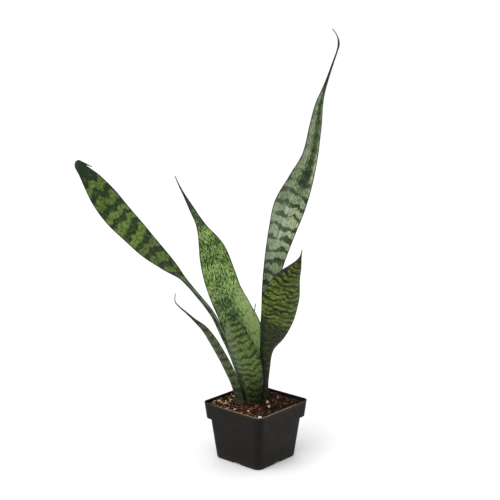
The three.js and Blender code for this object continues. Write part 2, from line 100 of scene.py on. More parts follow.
# Each leaf row is [x, y, height above the crown, width, facing, curl, thickness], as in the CAD part.
# Facing and curl are in degrees, and thickness is a share of THICKNESS.
LEAVES = {
    "tall_right_leaf": [
        (10, 13, -18, 15, 5, 45, 1),
        (10, 15, 12, 15, 5, 48, 0.95),
        (11, 17, 49, 15.5, 5, 50, 0.9),
        (13.3, 17, 86, 16.5, 5, 50, 0.87),
        (15.6, 18, 122, 19, 3, 45, 0.82),
        (19, 20, 157, 23, 0, 38, 0.76),
        (25.2, 22, 192, 29.5, 0, 36, 0.7),
        (34.2, 24, 227, 37.5, -3, 33, 0.65),
        (44.2, 26, 260, 43.5, -5, 32, 0.6),
        (58, 28, 292, 36, -8, 40, 0.55),
        (70.5, 30, 325, 25, -10, 60, 0.47),
        (76.7, 31, 359, 21.5, -10, 72, 0.42),
        (81.2, 33, 389, 14.5, -10, 75, 0.38),
        (85.6, 34, 406, 7.5, -10, 65, 0.34),
        (91, 35, 422, 4, -10, 50, 0.3),
        (98, 36, 443, 2.6, -10, 20, 0.24),
        (103.5, 37, 459, 2.1, -10, 10, 0.24),
        (105.6, 37.5, 469, 2.8, -10, 10, 0.34),
        (103.4, 38, 479, 1.3, -10, 5, 0.2),
        (97.4, 38, 488, 0.9, -10, 5, 0.17),
    ],
    "short_right_leaf": [
        (11, 4, -18, 11.5, 185, 40, 0.9),
        (10.8, 4, 12, 12.5, 185, 42, 0.9),
        (12.4, 2, 44, 15.3, 185, 45, 0.87),
        (14.8, -2, 72, 20.5, 185, 45, 0.82),
        (23, -7, 96, 38.5, 185, 40, 0.76),
        (29.6, -10, 120, 49.5, 185, 42, 0.7),
        (34, -13, 144, 52.8, 185, 45, 0.62),
        (41, -16, 167, 40, 187, 45, 0.52),
        (50, -18, 185, 20.5, 190, 40, 0.42),
        (54.6, -19.5, 195, 9, 190, 30, 0.34),
        (57.4, -20.5, 203, 2.8, 190, 15, 0.26),
        (59, -22, 212, 0.9, 190, 5, 0.17),
    ],
    "middle_leaf": [
        (-3, 6, -18, 13, 0, 45, 1),
        (-3, 6, 8, 14, 0, 48, 1),
        (-6.8, 8, 39, 21, 0, 42, 0.9),
        (-10.2, 11, 67, 38.5, 0, 38, 0.82),
        (-15.6, 13.5, 95, 51.5, 0, 35, 0.74),
        (-27.2, 16, 121, 50, -3, 33, 0.68),
        (-39.3, 19, 146, 47, -5, 32, 0.62),
        (-47.8, 21, 172, 46, -8, 32, 0.56),
        (-54.9, 24, 198, 41, -10, 38, 0.5),
        (-60.8, 25.5, 213, 32.5, -10, 45, 0.45),
        (-68.3, 27, 228, 20, -10, 58, 0.4),
        (-74.5, 28, 240, 13, -10, 68, 0.38),
        (-81.6, 29.5, 252, 9.5, -10, 68, 0.34),
        (-92, 31.5, 270, 4, -10, 40, 0.3),
        (-100, 33, 285, 2, -10, 10, 0.24),
        (-105.8, 34, 298, 0.9, -10, 5, 0.17),
    ],
    "long_left_leaf": [
        (-17, 5, -18, 13, 85, 45, 1),
        (-17.5, 7, 8, 14, 85, 45, 1.05),
        (-23.3, 8, 37, 15, 80, 50, 1.1),
        (-33.6, 9, 66, 16, 80, 50, 1.1),
        (-46.1, 10, 93.5, 15, 82, 50, 1),
        (-60, 11.5, 120, 14, 85, 46, 0.8),
        (-78.4, 13, 143.5, 13, 85, 40, 0.66),
        (-97.8, 15, 165.5, 14.5, 75, 36, 0.58),
        (-118.6, 16, 186, 21.5, 30, 30, 0.52),
        (-140, 18, 206.5, 30.5, 3, 25, 0.5),
        (-160, 20, 228, 35.5, -5, 22, 0.48),
        (-179.8, 21, 249.5, 38.5, -5, 22, 0.45),
        (-197, 23, 272, 37, -5, 24, 0.42),
        (-211.6, 24.5, 292, 28, -5, 26, 0.38),
        (-222.8, 26, 305.5, 18, -5, 26, 0.34),
        (-231, 28.5, 314.5, 11, -5, 20, 0.3),
        (-229, 36, 316, 4, -5, 15, 0.26),
        (-215, 42, 309, 0.9, -5, 5, 0.17),
    ],
    "small_left_leaf": [
        (-20, -5, -18, 14, 140, 42, 0.95),
        (-23, -8, 7, 16.5, 140, 42, 0.95),
        (-28.8, -11, 29, 17, 140, 42, 0.87),
        (-37.2, -14, 50, 17.5, 140, 40, 0.8),
        (-46.8, -17, 70, 17.5, 140, 38, 0.7),
        (-56.8, -20, 89.5, 16.5, 138, 36, 0.6),
        (-68, -22, 107, 12.5, 136, 34, 0.5),
        (-79.6, -24, 119.5, 6, 134, 25, 0.38),
        (-89.8, -26, 130, 3.6, 132, 10, 0.3),
        (-98.6, -28, 138.5, 2.4, 130, 5, 0.26),
        (-103.6, -29, 145.8, 1.6, 130, 5, 0.2),
        (-103.2, -30, 156.5, 0.9, 110, 5, 0.17),
    ],
    "front_leaf": [
        (-3, -4, -18, 17, 178, 35, 1),
        (-3, -7.5, 4, 22, 178, 38, 1),
        (-4.5, -10.5, 22, 31, 178, 40, 0.95),
        (-6.8, -13, 39, 36, 178, 40, 0.87),
        (-10.8, -15.5, 55, 39, 178, 40, 0.8),
        (-15.8, -18, 71, 39, 178, 40, 0.73),
        (-21.8, -20.5, 87, 34.5, 178, 38, 0.64),
        (-27, -23, 102, 29, 178, 34, 0.55),
        (-30.2, -25, 112.5, 21.5, 178, 30, 0.45),
        (-33.6, -26, 120, 13, 178, 25, 0.36),
        (-37.2, -26.5, 125.5, 5.5, 178, 15, 0.26),
        (-40, -27, 129, 0.9, 178, 5, 0.17),
    ],
    "back_leaf": [
        (0, 19, -18, 13, 0, 45, 0.9),
        (0, 22, 6, 15, 0, 45, 0.9),
        (-3, 27, 34, 18, 0, 40, 0.82),
        (-7, 34, 62, 20, 0, 38, 0.7),
        (-8, 40, 84, 15, 0, 35, 0.55),
        (-4.6, 44.5, 100, 6, 0, 25, 0.38),
        (-1.8, 48, 112, 1.6, 0, 10, 0.24),
        (-0.4, 50, 121.5, 0.9, 0, 5, 0.17),
    ],
}

LATTICE_SIZE = 48
LATTICE = np.random.RandomState(11).rand(LATTICE_SIZE, LATTICE_SIZE, LATTICE_SIZE)


def noise(points, scale):
    """Smooth noise from 0 to 1 at points, which vary over about 1 / scale millimetres."""
    place = np.asarray(points, float) * scale + 20.0
    cell = np.floor(place).astype(int)
    t = place - cell
    t = t * t * (3 - 2 * t)
    total = 0
    for dx in (0, 1):
        for dy in (0, 1):
            for dz in (0, 1):
                weight = np.abs(1 - dx - t[..., 0]) * np.abs(1 - dy - t[..., 1])
                weight = weight * np.abs(1 - dz - t[..., 2])
                corner = (cell + (dx, dy, dz)) % LATTICE_SIZE
                total = total + weight * LATTICE[corner[..., 0], corner[..., 1], corner[..., 2]]
    return total


def bump3(points, scale, seed):
    """Noise from -1 to 1 in each of the three directions."""
    shifted = [noise(points + (7.3 * seed, 3.1 * k, 1.7 * seed), scale) for k in range(3)]
    return 2 * np.stack(shifted, axis=-1) - 1


def smooth(value, low, high):
    """From 0 at low to 1 at high, with soft ends; low may be the larger."""
    t = np.clip((value - low) / (high - low), 0, 1)
    return t * t * (3 - 2 * t)


def srgb(red, green, blue):
    """A linear colour from eight-bit sRGB numbers."""
    out = []
    for value in (red, green, blue):
        share = value / 255
        out.append(share / 12.92 if share <= 0.04045 else ((share + 0.055) / 1.055) ** 2.4)
    return (*out, 1.0)


def leafy(red, green, blue):
    """The colour of a leaf that looks this bright, in sRGB, under the studio light."""
    return tuple(max(0.002, 0.78 * c - 0.014) for c in srgb(red, green, blue)[:3]) + (1.0,)


def lighter(colour, factor):
    return tuple(min(1.0, factor * c) for c in colour[:3]) + (1.0,)


# Materials


class Look:
    """A material with a Principled shader, and short names for the nodes that feed it."""

    def __init__(self, name, roughness, **shader):
        self.material = bpy.data.materials.new(name)
        self.material.use_nodes = True
        self.tree = self.material.node_tree
        self.shader = self.tree.nodes["Principled BSDF"]
        self.shader.inputs["Roughness"].default_value = roughness
        for socket, value in shader.items():
            self.shader.inputs[socket.replace("_", " ")].default_value = value

    def node(self, kind, **settings):
        made = self.tree.nodes.new("ShaderNode" + kind)
        for key, value in settings.items():
            setattr(made, key, value)
        return made

    def put(self, socket, value):
        if isinstance(value, bpy.types.NodeSocket):
            self.tree.links.new(value, socket)
        else:
            socket.default_value = value

    def set(self, socket, value):
        self.put(self.shader.inputs[socket], value)

    def math(self, operation, *values, clamp=False):
        made = self.node("Math", operation=operation, use_clamp=clamp)
        for socket, value in zip(made.inputs, values):
            self.put(socket, value)
        return made.outputs[0]

    def times(self, first, second):
        return self.math("MULTIPLY", first, second)

    def attribute(self, name):
        return self.node("Attribute", attribute_name=name).outputs["Fac"]

    def vector(self, x, y, z):
        made = self.node("CombineXYZ")
        for socket, value in zip(made.inputs, (x, y, z)):
            self.put(socket, value)
        return made.outputs[0]

    def object_point(self):
        """The place in the part's frame, in millimetres."""
        coordinates = self.node("TexCoord").outputs["Object"]
        made = self.node("VectorMath", operation="SCALE")
        self.put(made.inputs[0], coordinates)
        made.inputs["Scale"].default_value = 1 / MM
        return made.outputs[0]

    def noise(self, vector, scale=1.0, detail=2.0, roughness=0.5):
        made = self.node("TexNoise", noise_dimensions="3D")
        self.put(made.inputs["Vector"], vector)
        for socket, value in (("Scale", scale), ("Detail", detail), ("Roughness", roughness)):
            made.inputs[socket].default_value = value
        return made.outputs["Fac"]

    def step(self, value, low, high, to_low=0.0, to_high=1.0):
        """As smooth() does, and then to a range of its own."""
        made = self.node("MapRange", interpolation_type="SMOOTHSTEP")
        self.put(made.inputs["Value"], value)
        limits = {"From Min": low, "From Max": high, "To Min": to_low, "To Max": to_high}
        for socket, value in limits.items():
            made.inputs[socket].default_value = value
        return made.outputs[0]

    def mix(self, share, first, second):
        """One colour blended into another; sockets 6 and 7 are the Mix node's colours."""
        made = self.node("Mix", data_type="RGBA")
        self.put(made.inputs[0], share)
        self.put(made.inputs[6], first)
        self.put(made.inputs[7], second)
        return made.outputs[2]

    def ramp(self, share, *stops):
        made = self.node("ValToRGB")
        elements = made.color_ramp.elements
        while len(elements) < len(stops):
            elements.new(0.5)
        for element, (position, colour) in zip(elements, stops):
            element.position = position
            element.color = colour
        self.put(made.inputs[0], share)
        return made.outputs[0]

    def bump(self, height, distance):
        """Relief of this many millimetres for a height of 1."""
        made = self.node("Bump")
        made.inputs["Distance"].default_value = distance * MM
        self.put(made.inputs["Height"], height)
        self.set("Normal", made.outputs[0])


def leaf_look(name, light, mid, dark, period, dark_from, dark_to, seed, *, wobble, jitter, uneven, depth,
              mottle, crisp, mottle_size, streak, zigzag=0.0, zig_width=9.0, broken=0.5, core=0.0,
              ragged=0.3, roughness=0.42):
    """A leaf with cross bands, flecks and fibre streaks, in three greens.

    The bands repeat every period millimetres along the leaf. Zigzag, wobble and jitter shift them, uneven
    and broken vary their width and gaps, and core lightens their middles. The leaf's own attributes say
    where its surface is darker (tone, which also carries painted light and shade), unbanded (faint),
    greyed by a painted sheen (sheen), dry or pale.
    """
    look = Look(name, roughness, Specular_IOR_Level=0.16)
    across = look.attribute("across")
    along = look.attribute("along")
    inner = look.math("MULTIPLY_ADD", look.attribute("inner"), 40.0, float(seed))

    def cloth(per_across, per_along, shift=0.0, **more):
        """Noise that lies on the leaf; each shift gives a pattern of its own."""
        x = look.times(across, per_across)
        y = look.times(along, per_along)
        return look.noise(look.vector(x, y, look.math("ADD", inner, shift)), **more)

    def centred(value):
        return look.math("SUBTRACT", value, 0.5)

    wide = centred(cloth(0.07, 0.022, detail=1.0))
    fine = centred(cloth(ragged, 0.13, shift=9.0, detail=4.0, roughness=0.7))
    peak = look.times(look.math("PINGPONG", look.math("ADD", across, 90.0), zig_width), zigzag)
    place = look.math("ADD", along, peak)
    place = look.math("MULTIPLY_ADD", wide, 6.0 * wobble, place)
    place = look.math("MULTIPLY_ADD", fine, 4.0 * jitter, place)
    wave = look.math("SINE", look.times(place, 2 * math.pi / period))
    wave = look.math("MULTIPLY_ADD", wave, 0.5, 0.5)
    thick = centred(cloth(0.4 * ragged, 0.07, shift=61.0, detail=3.0, roughness=0.6))
    wave = look.math("MULTIPLY_ADD", thick, 2.4 * uneven, wave)
    band = look.step(wave, dark_from, dark_to)
    patches = cloth(0.66 * ragged, 0.11, shift=17.0, detail=3.0, roughness=0.6)
    band = look.math("MULTIPLY_ADD", look.step(patches, 0.48, 0.66), -broken, band, clamp=True)
    heart = look.times(look.step(wave, dark_to + 0.1, dark_to + 0.45), core)
    heart = look.times(heart, look.step(cloth(0.5, 0.35, shift=71.0, detail=3.0), 0.42, 0.58))
    band = look.math("SUBTRACT", band, heart, clamp=True)
    band = look.times(band, look.math("SUBTRACT", 1.0, look.attribute("faint")))
    speck = cloth(*mottle_size, shift=23.0, detail=5.0, roughness=0.72)
    fleck = centred(look.step(speck, 0.5 - crisp, 0.5 + crisp))
    shade = look.math("MULTIPLY_ADD", fleck, mottle, look.attribute("tone"))
    lines = cloth(2.0, 0.03, shift=31.0, detail=3.0)
    shade = look.math("MULTIPLY_ADD", centred(lines), 2.0 * streak, shade)
    grain = cloth(1.6, 0.9, shift=83.0, detail=3.0, roughness=0.7)
    shade = look.math("MULTIPLY_ADD", centred(grain), 0.9, shade)
    lightness = look.math("MULTIPLY_ADD", band, -depth, 0.76)
    lightness = look.math("ADD", lightness, shade, clamp=True)
    colour = look.ramp(lightness, (0.0, dark), (0.42, mid), (0.78, light), (1.0, lighter(light, 1.3)))
    # Painted sheen: the sheen attribute greys the colour where light would reflect off the leaf's wax
    colour = look.mix(look.times(look.attribute("sheen"), 0.5), colour, leafy(128, 140, 122))
    edge = look.step(look.attribute("edge"), 0.35, 0.95)
    colour = look.mix(look.times(edge, 0.85), colour, leafy(34, 36, 20))
    dry = look.ramp(cloth(0.8, 0.16, shift=41.0, detail=3.0),
                    (0.3, leafy(42, 40, 36)), (0.55, leafy(68, 65, 57)), (0.8, leafy(104, 99, 86)))
    colour = look.mix(look.attribute("dry"), colour, dry)
    pale = look.times(look.attribute("pale"), look.step(lines, 0.47, 0.62))
    colour = look.mix(pale, colour, leafy(132, 134, 104))
    look.set("Base Color", colour)
    wax = look.step(cloth(0.25, 0.1, shift=53.0, detail=3.0), 0.3, 0.7, roughness - 0.07, roughness + 0.1)
    look.set("Roughness", look.math("MULTIPLY_ADD", look.attribute("dry"), 0.35, wax, clamp=True))
    relief = look.math("MULTIPLY_ADD", lines, 0.55, look.times(speck, 0.25))
    relief = look.math("MULTIPLY_ADD", band, -0.25, relief)
    look.bump(relief, 0.25)
    return look.material


# Meshes


def placed(name, data):
    """A new object, in the scene."""
    made = bpy.data.objects.new(name, data)
    bpy.context.scene.collection.objects.link(made)
    return made


def plain_object(name, points, faces):
    """An object from points in the part's frame, in millimetres."""
    mesh = bpy.data.meshes.new(name)
    mesh.from_pydata((np.asarray(points) * MM).tolist(), [], faces)
    return placed(name, mesh)


def make(name, points, faces, material, values, replaced=(), flat=False):
    """A finished piece, with the values that its material reads at each point."""
    piece = plain_object(name, points, faces)
    mesh = piece.data
    for key, value in values.items():
        attribute = mesh.attributes.new(key, "FLOAT", "POINT")
        attribute.data.foreach_set("value", np.asarray(value, np.float32).ravel())
    mesh.validate()
    mesh.polygons.foreach_set("use_smooth", [not flat] * len(mesh.polygons))
    mesh.materials.append(material)
    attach(piece, "root")
    if replaced:
        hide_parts(*replaced)


def in_pot(points):
    """Points of the plant's frame in the part's frame."""
    points = np.asarray(points, float)
    c, s = math.cos(TURN), math.sin(TURN)
    x = c * points[..., 0] - s * points[..., 1]
    y = s * points[..., 0] + c * points[..., 1]
    return np.stack([x, y, points[..., 2]], axis=-1)


def loft_faces(rings, count):
    """Quads between rings of points, and the two ends closed as one face each."""
    faces = []
    for ring in range(rings - 1):
        for i in range(count):
            a = ring * count + i
            b = ring * count + (i + 1) % count
            faces.append((a, b, b + count, a + count))
    faces.append(tuple(range(count - 1, -1, -1)))
    faces.append(tuple((rings - 1) * count + i for i in range(count)))
    return faces


# Leaves


def rows_at(rows, shares):
    """The rows at shares of the way along a table, on a smooth curve through them all."""
    table = np.asarray(rows, float)
    last = len(table) - 1
    place = np.minimum(np.asarray(shares) * last, last - 1e-9)
    i = place.astype(int)
    t = (place - i)[:, None]
    here, ahead = table[i], table[i + 1]
    before, after = table[np.maximum(i - 1, 0)], table[np.minimum(i + 2, last)]
    slope_in, slope_out = (ahead - before) / 2, (after - here) / 2
    square = 3 * (ahead - here) - 2 * slope_in - slope_out
    cube = slope_in + slope_out - 2 * (ahead - here)
    return here + t * (slope_in + t * (square + t * cube))


def unit(vectors):
    return vectors / np.linalg.norm(vectors, axis=-1, keepdims=True)


def centre_line(rows, shares):
    """Points on the leaf's middle line, in the plant's frame."""
    table = rows_at(rows, shares)
    return np.stack([table[:, 0], table[:, 1], CROWN + table[:, 2]], axis=-1)


def even_shares(rows):
    """Shares that lie about one leaf step apart on the middle line, and their lengths along it."""
    dense = np.linspace(0, 1, 4000)
    line = centre_line(rows, dense)
    run = np.concatenate([[0], np.cumsum(np.linalg.norm(np.diff(line, axis=0), axis=1))])
    count = int(run[-1] / LEAF_STEP) + 1
    places = np.linspace(0, run[-1], count)
    return np.interp(places, run, dense), places


def leaf_ring():
    """A ring round the blade: its place across, from -1 to 1, its side, and how far round the margin."""
    flat = np.linspace(-1, 1, ACROSS_STEPS + 1)
    flat = np.sign(flat) * (1 - (1 - np.abs(flat)) ** 1.3)
    turns = np.linspace(0, math.pi, CAP_STEPS + 2)[1:-1]
    ring = [(s, 1.0, 0.0) for s in flat]
    ring += [(1.0, math.cos(a), math.sin(a)) for a in turns]
    ring += [(s, -1.0, 0.0) for s in flat[::-1]]
    ring += [(-1.0, -math.cos(a), math.sin(a)) for a in turns]
    return ring


def leaf_piece(name, material, paint, seed, wave=0.35, ripple=0.0):
    """One leaf as a closed skin with round margins, and what its material reads at each vertex."""
    rows = LEAVES[name]
    shares, run = even_shares(rows)
    heights, widths, facings, curls, flesh = rows_at(rows, shares)[:, 2:].T
    centre = centre_line(rows, shares)
    ahead = centre_line(rows, np.minimum(shares + SLOPE_SPAN, 1))
    behind = centre_line(rows, np.maximum(shares - SLOPE_SPAN, 0))
    along = unit(ahead - behind)
    facing = np.radians(facings)
    inward = np.stack([np.sin(facing), -np.cos(facing), 0 * facing], axis=-1)
    inward = unit(inward - along * np.sum(inward * along, axis=1, keepdims=True))
    side = np.cross(inward, along)
    half_width = np.maximum(widths, 0.8) / 2
    half_curl = np.radians(np.maximum(curls, 3))
    radius = half_width / half_curl
    middle = np.maximum(flesh * THICKNESS, 0.8)
    margin = np.minimum(MARGIN, middle)
    edge_half = margin / 2
    reach = np.clip(1 - edge_half / half_width, 0.2, 1)
    ring = leaf_ring()
    columns = []
    for s, face, cap in ring:
        turn = s * half_curl * reach
        half = (margin + (middle - margin) * (1 - s * s)) / 2
        out = side * np.sin(turn)[:, None] - inward * np.cos(turn)[:, None]
        sideways = side * np.cos(turn)[:, None] + inward * np.sin(turn)[:, None]
        point = centre + side * (radius * np.sin(turn))[:, None]
        point = point + inward * (radius * (1 - np.cos(turn)))[:, None]
        sheet = np.stack([s * half_width * 0.5, run, np.full_like(run, 13.0 * seed)], axis=-1)
        swell = (noise(sheet, 0.045) - 0.5) * 2 * wave * np.clip(half_width / 10, 0, 1)
        folds = ripple * np.sin(2 * math.pi * (run + 6 * noise(sheet, 0.1)) / RIPPLE_LENGTH)
        folds = folds * (1 - abs(s)) * np.clip(half_width / 16, 0, 1)
        point = point + out * (face * half + (swell + folds))[:, None]
        columns.append(point + sideways * (np.sign(s) * cap * edge_half)[:, None])
    points = np.stack(columns, axis=1)
    shape = points.shape[:2]
    rel, faces, caps = (np.broadcast_to(row, shape) for row in np.array(ring).T)
    high, width = heights[:, None], widths[:, None]
    across = rel * width / 2
    distance = (1 - np.abs(rel)) * width / 2
    values = dict(
        across=across,
        along=run[:, None],
        inner=(1 - faces) / 2,
        edge=np.clip(np.maximum(1 - distance / DARK_EDGE, caps), 0, 1),
        tone=0.0, sheen=0.0, dry=0.0, pale=0.0, faint=0.0,
    )
    values.update(paint(high, rel, across, width))
    values = {key: np.broadcast_to(value, shape) for key, value in values.items()}
    skin = in_pot(points).reshape(-1, 3)
    make(name + "_blade", skin, loft_faces(*shape), material, values, (name,))


# Each paint says what a leaf's material reads, from the height above the crown, the place across the
# blade (rel, from -1 to 1, and across, in millimetres) and the blade's width there.


def tall_paint(high, rel, across, _):
    tone = -0.18 - 0.22 * smooth(high, 175, 110) + 0.1 * smooth(high, 170, 220)
    tone = tone - 0.16 * smooth(high, 256, 272) * smooth(high, 318, 296)
    upper = smooth(high, 272, 300)
    low = smooth(high, 345, 315)
    # Painted light and shade on the rolled upper blade: lighter strips where the margins turn to the
    # light, a darker middle
    lit_stripe = 0.2 * smooth(rel, -0.1, 0.4) + (0.16 + 0.3 * low) * smooth(-rel, 0.62, 0.85)
    dark_side = 0.3 * np.exp(-((rel + 0.25) / 0.36) ** 2) + 0.24
    tone = tone + upper * (lit_stripe - dark_side)
    rib = np.exp(-((across - 1.5) / 1.2) ** 2)
    rib = rib * smooth(high, 175, 215) * smooth(high, 300, 270)
    tone = tone + 0.34 * rib
    sheen = 0.5 * smooth(rel, -0.5, 0.6) * smooth(high, 120, 220) + 0.15
    return dict(
        tone=tone,
        faint=0.72 * upper,
        sheen=sheen * (1 - 0.6 * upper),
        dry=smooth(high, 398, 420),
        pale=0.4 * smooth(high, 6, -2),
    )


def short_paint(high, rel, across, _):
    # Painted shade: the lower blade, down among the other leaves, is darker, most of all near the base,
    # and its bands are faint
    low = smooth(high + 0.3 * across, 116, 100)
    tone = -0.19 - 0.45 * low - 0.1 * smooth(high, 60, 20)
    tone = tone - 0.1 * smooth(high, 150, 185)
    rim = smooth(-rel, 0.55, 0.9) * smooth(high, 160, 176)
    return dict(
        tone=tone - 0.25 * rim,
        faint=0.7 * low,
        sheen=0.14 * smooth(rel, 0.2, 0.9) * smooth(high, 100, 130) + 0.1 * low,
        dry=np.maximum(smooth(high, 188, 198), 0.7 * rim),
        pale=0.25 * smooth(high, 6, -2),
    )


def middle_paint(high, rel, *_):
    light_side = smooth(-rel, -0.1, 0.6) * smooth(high, 175, 105)
    tone = -0.17 + 0.62 * light_side - 0.04 * smooth(high, 150, 180)
    shadow = smooth(np.abs(rel - 0.2), 0.6, 0.1) * smooth(high, 100, 120) * smooth(high, 160, 135)
    tone = tone - 0.22 * shadow - 0.1 * smooth(high, 182, 194) * smooth(high, 222, 212)
    tone = tone - 0.08 * smooth(high, 165, 140) + 0.16 * smooth(high, 216, 226)
    tip = smooth(high, 227, 237)
    return dict(
        tone=tone - 0.6 * tip,
        sheen=0.22 * smooth(high, 180, 120) + 0.3 * tip,
        dry=smooth(high, 246, 272),
        pale=0.3 * smooth(high, 6, -2),
    )


def long_paint(high, rel, across, width):
    # Painted light and shade on the stem: a lighter stripe with a painted sheen along its lit side, and
    # the rest darker
    stem = smooth(high, 195, 165)
    lit_stripe = stem * smooth(np.abs(rel - 0.25), 0.5, 0.1)
    tone = -0.18 - 0.15 * stem + 0.3 * lit_stripe - 0.12 * smooth(high, 240, 270)
    tone = tone - 0.6 * smooth(high - 0.35 * across, 298, 303)
    dry_tip = 0.8 * smooth(width, 9, 3) * smooth(high, 300, 310)
    dry_neck = 0.3 * smooth(high, 222, 204) * smooth(high, 150, 180)
    return dict(
        tone=tone,
        sheen=0.4 * lit_stripe + 0.08,
        dry=dry_tip + dry_neck,
        pale=0.35 * smooth(high, 10, -2),
    )


def small_paint(high, rel, *_):
    rim = smooth(np.abs(rel), 0.72, 0.95) * smooth(high, 15, 40)
    # Painted shade darkens the base among the other leaves
    return dict(
        tone=-0.16 + 0.3 * rim - 0.1 * smooth(high, 95, 115) - 0.3 * smooth(high, 50, 10),
        sheen=0.16,
        dry=smooth(high, 108, 124),
        pale=0.6 * smooth(high, 18, -2),
    )


def front_paint(high, rel, *_):
    # Painted shade darkens the base among the other leaves; painted light makes the left half lighter,
    # with a painted sheen
    tone = -0.15 - 0.42 * smooth(high, 58, 12)
    left = smooth(-rel, -0.05, 0.6)
    right_edge = smooth(rel, 0.55, 0.95) * smooth(high, 115, 100)
    return dict(
        tone=tone + 0.06 * left - 0.16 * right_edge - 0.1 * smooth(high, 108, 122),
        sheen=0.08 + 0.62 * left * smooth(high, 25, 60),
        dry=0.7 * smooth(high, 124, 129),
        pale=0.75 * smooth(-rel, 0.2, 0.6) * smooth(high, 44, 12),
    )


def back_paint(high, *_):
    return dict(tone=-0.2, sheen=0.1, dry=smooth(high, 98, 110))


silver = leaf_look(
    "silver_banded_leaf", leafy(170, 184, 154), leafy(96, 115, 70), leafy(29, 46, 20), 15.6, 0.46, 1.0, 3,
    zigzag=0.1, zig_width=13.0, wobble=2.8, jitter=2.2, uneven=0.9, broken=0.3, depth=0.64, mottle=0.42,
    crisp=0.12, mottle_size=(0.7, 0.24), streak=0.8, ragged=0.17,
)
dark_lined = leaf_look(
    "dark_lined_leaf", leafy(120, 134, 70), leafy(72, 84, 38), leafy(32, 42, 14), 7.4, 0.34, 0.95, 5,
    wobble=2.5, jitter=1.6, uneven=1.2, broken=0.5, depth=0.46, mottle=0.44, crisp=0.13,
    mottle_size=(0.16, 0.3), streak=0.1, ragged=0.11, roughness=0.5,
)
mottled = leaf_look(
    "mottled_leaf", leafy(150, 174, 108), leafy(88, 118, 56), leafy(32, 58, 12), 26.0, 0.3, 1.0, 8,
    wobble=6.0, jitter=5.0, uneven=0.8, depth=0.24, mottle=0.9, crisp=0.1, mottle_size=(0.55, 0.2),
    streak=0.7,
)
zigzagged = leaf_look(
    "zigzag_banded_leaf", leafy(120, 142, 74), leafy(78, 101, 44), leafy(31, 52, 14), 21.0, 0.34, 0.8, 12,
    zigzag=0.62, zig_width=9.5, wobble=3.8, jitter=1.7, uneven=0.75, broken=0.3, depth=0.56, core=0.6,
    mottle=0.46, crisp=0.13, mottle_size=(0.22, 0.2), streak=0.24, ragged=0.2,
)
# Grey-green for the small and back leaves, made darker as painted shade, since they stand behind the
# others
shadowed = leaf_look(
    "shaded_grey_green_leaf", leafy(96, 106, 72), leafy(60, 70, 42), leafy(24, 32, 16), 12.0, 0.4, 0.95, 15,
    wobble=2.4, jitter=2.4, uneven=0.8, depth=0.5, mottle=0.6, crisp=0.11, mottle_size=(0.5, 0.3),
    streak=0.24,
)
wavy = leaf_look(
    "wavy_banded_leaf", leafy(116, 136, 76), leafy(74, 94, 42), leafy(26, 42, 8), 9.6, 0.34, 1.0, 19,
    wobble=3.2, jitter=2.4, uneven=1.1, broken=0.6, depth=0.52, mottle=0.46, crisp=0.13,
    mottle_size=(0.36, 0.3), streak=0.24, ragged=0.15,
)

leaf_piece("tall_right_leaf", silver, tall_paint, seed=1)
leaf_piece("short_right_leaf", dark_lined, short_paint, wave=0.6, ripple=0.12, seed=2)
leaf_piece("middle_leaf", mottled, middle_paint, seed=3)
leaf_piece("long_left_leaf", zigzagged, long_paint, seed=4)
leaf_piece("small_left_leaf", shadowed, small_paint, seed=5)
leaf_piece("front_leaf", wavy, front_paint, wave=0.5, ripple=0.1, seed=6)
leaf_piece("back_leaf", shadowed, back_paint, seed=7)


# Pot


def square_ring(half, radius, corner_steps=12, flat_steps=14):
    """One ring of a square with round corners, as [x, y] points."""
    ring = []
    for corner in range(4):
        middle = (corner + 0.5) * math.pi / 2
        cx = math.copysign(half - radius, math.cos(middle))
        cy = math.copysign(half - radius, math.sin(middle))
        arc = [(corner + step / corner_steps) * math.pi / 2 for step in range(corner_steps + 1)]
        ring += [(cx + radius * math.cos(a), cy + radius * math.sin(a)) for a in arc]
        after = (corner + 1) * math.pi / 2
        x0, y0 = ring[-1]
        nx, ny = math.cos(after), math.sin(after)
        run = 2 * (half - radius)
        for step in range(1, flat_steps):
            slide = run * step / flat_steps
            ring.append((x0 - ny * slide, y0 + nx * slide))
    return np.array(ring)


def bowed(ring, half, height):
    """The thin sides bow in a little towards the rim, least at the corners."""
    share = np.clip(height / POT_HEIGHT, 0, 1) ** 2
    x, y = ring[:, 0], ring[:, 1]
    along_x = np.cos(np.clip(y / half, -1, 1) * math.pi / 2)
    along_y = np.cos(np.clip(x / half, -1, 1) * math.pi / 2)
    swell = noise(np.stack([x, y, 0 * x + height], axis=-1), 0.03) - 0.5
    push = WALL_BOW * share * (1 + swell)
    near_x = smooth(np.abs(x) / half, 0.7, 1.0)
    near_y = smooth(np.abs(y) / half, 0.7, 1.0)
    out = ring.copy()
    out[:, 0] -= np.sign(x) * push * along_x * near_x
    out[:, 1] -= np.sign(y) * push * along_y * near_y
    return out


def densified(profile, step):
    """The profile with points added, so that none lie much more than a step apart."""
    out = [profile[0]]
    for first, second in zip(profile, profile[1:]):
        count = max(1, int(math.dist(first, second) / step))
        for k in range(1, count + 1):
            t = k / count
            out.append(tuple(a + t * (b - a) for a, b in zip(first, second)))
    return out


def square_stack(profile, radius):
    """A closed body of square rings, from [height, half width] points."""
    rings = []
    for height, half in profile:
        ring = bowed(square_ring(half, radius), half, height)
        rings.append(np.column_stack([ring, np.full(len(ring), height)]))
    return np.concatenate(rings), loft_faces(len(rings), len(rings[0]))


def arc_profile(height, half, radius, start, end, steps=5):
    """A rounded edge of the profile: angles count from outwards (0) to upwards (90)."""
    angles = np.radians(np.linspace(start, end, steps + 1))
    return [(height + radius * math.sin(a), half + radius * math.cos(a)) for a in angles]


